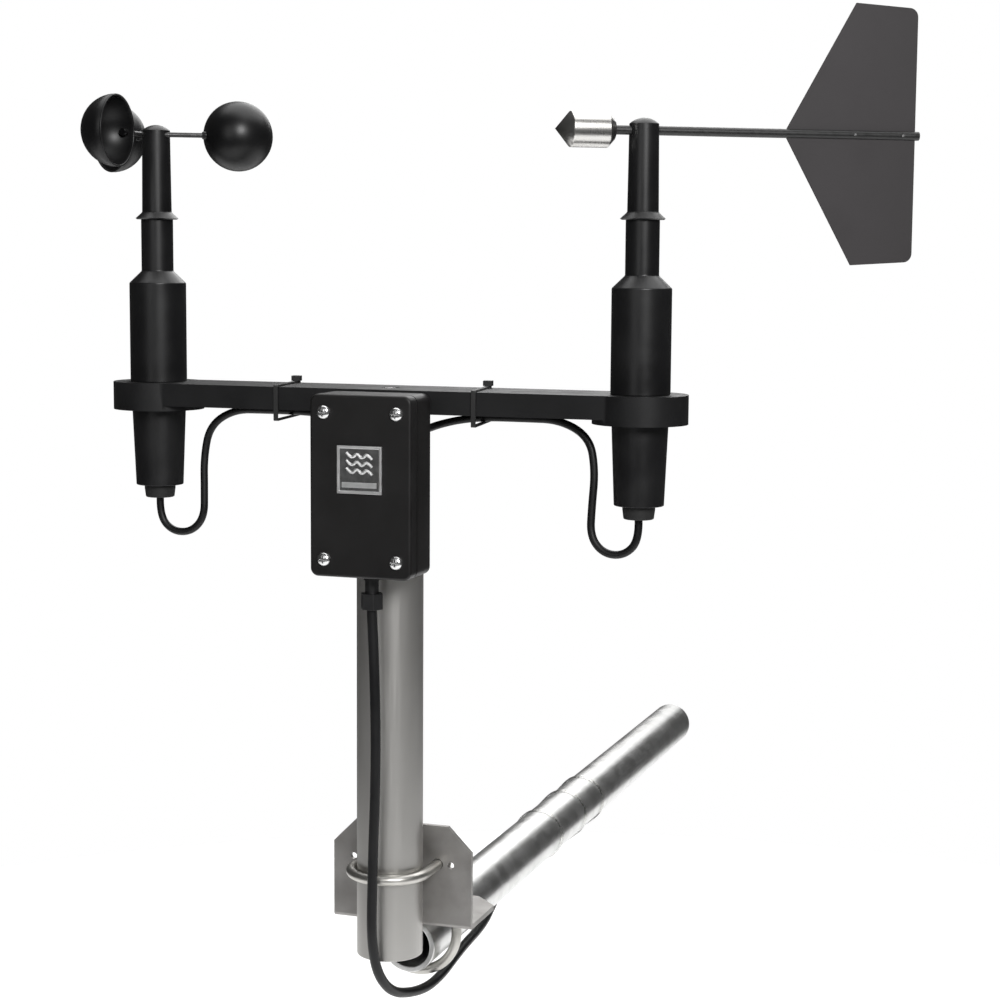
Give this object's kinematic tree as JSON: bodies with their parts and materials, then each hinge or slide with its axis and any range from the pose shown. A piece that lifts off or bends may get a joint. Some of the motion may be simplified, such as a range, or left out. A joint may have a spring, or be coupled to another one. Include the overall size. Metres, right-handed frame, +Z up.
{
  "type": "cup anemometer",
  "caption": "Cup anemometer and wind vane on a common crossarm, with junction box, mast stub, boom bracket and signal cable.",
  "frame": {"origin": "on the boom's axis at its open tower end", "axes": "+X along the crossarm towards the vane, +Y along the boom towards the tower, +Z up"},
  "size_m": [0.4867, 0.741, 0.6101],
  "materials": {
    "galvanised_steel": "dull zinc spangle",
    "plated_fastener": "zinc plated",
    "black_plastic": "fine moulded satin",
    "black_painted_aluminium": "black powder coat",
    "box_plastic": "fine spark texture",
    "cup_plastic": "satin black",
    "stainless_steel": "plain turned",
    "dark_steel_rod": "black oxide",
    "bright_turned_metal": "turned, lightly polished",
    "fin_sheet": "flat dark sheet",
    "label_metal": "brushed frame round a dark panel",
    "rubber": "matt",
    "cable_jacket": "satin extruded jacket",
    "moulded_nylon": "moulded",
    "black_tie_nylon": "smooth",
    "natural_tie_nylon": "milky",
    "coil_copper": "enamelled winding",
    "magnet_ferrite": "sintered",
    "plug_aluminium": "turned"
  },
  "bodies": {
    "frame": {"boom": "galvanised_steel", "mast": "galvanised_steel", "bracket": "galvanised_steel", "mast_u_bolt": "galvanised_steel", "mast_u_bolt_nuts": "plated_fastener", "boom_u_bolt": "galvanised_steel", "boom_u_bolt_nuts": "plated_fastener", "crossarm": "black_painted_aluminium", "mast_plug": "plug_aluminium", "arm_screw": "stainless_steel", "box_base": "box_plastic", "box_lid": "box_plastic", "lid_gasket": "rubber", "lid_screws": "stainless_steel", "label_plate": "label_metal", "box_screws": "stainless_steel", "terminal_strip": "moulded_nylon", "terminal_screws": "stainless_steel", "lead_grommets": "rubber", "gland_body": "moulded_nylon", "gland_nut": "moulded_nylon", "gland_locknut": "moulded_nylon", "cup_housing": "black_plastic", "cup_base": "black_plastic", "cup_strain_relief": "rubber", "cup_bearing_upper": "stainless_steel", "cup_bearing_lower": "stainless_steel", "cup_coil": "coil_copper", "vane_housing": "black_plastic", "vane_base": "black_plastic", "vane_strain_relief": "rubber", "vane_bearing_upper": "stainless_steel", "vane_bearing_lower": "stainless_steel", "vane_potentiometer": "moulded_nylon", "cup_lead": "cable_jacket", "vane_lead": "cable_jacket", "main_cable": "cable_jacket", "cable_hank": "cable_jacket", "cable_tail": "cable_jacket", "cable_connector": "moulded_nylon", "arm_ties": "black_tie_nylon", "boom_ties": "natural_tie_nylon"},
    "cup_wheel": {"cup_shaft": "stainless_steel", "cup_magnet": "magnet_ferrite", "cup_hub": "black_plastic", "cup_hub_screw": "stainless_steel", "cup_1": "cup_plastic", "cup_2": "cup_plastic", "cup_3": "cup_plastic", "cup_rod_1": "dark_steel_rod", "cup_rod_2": "dark_steel_rod", "cup_rod_3": "dark_steel_rod"},
    "wind_vane": {"vane_shaft": "stainless_steel", "vane_wiper": "moulded_nylon", "vane_hub": "black_plastic", "vane_hub_screw": "stainless_steel", "vane_rod": "dark_steel_rod", "vane_counterweight": "bright_turned_metal", "vane_fin": "fin_sheet", "fin_pins": "stainless_steel"}
  },
  "joints": [
    {"name": "cup_spin", "type": "hinge", "parent": "frame", "child": "cup_wheel", "pos_m": [-0.1457, -0.673, 0.43395], "axis": [0, 0, 1], "continuous": true},
    {"name": "vane_turn", "type": "hinge", "parent": "frame", "child": "wind_vane", "pos_m": [0.1457, -0.673, 0.43395], "axis": [0, 0, 1], "continuous": true}
  ]
}
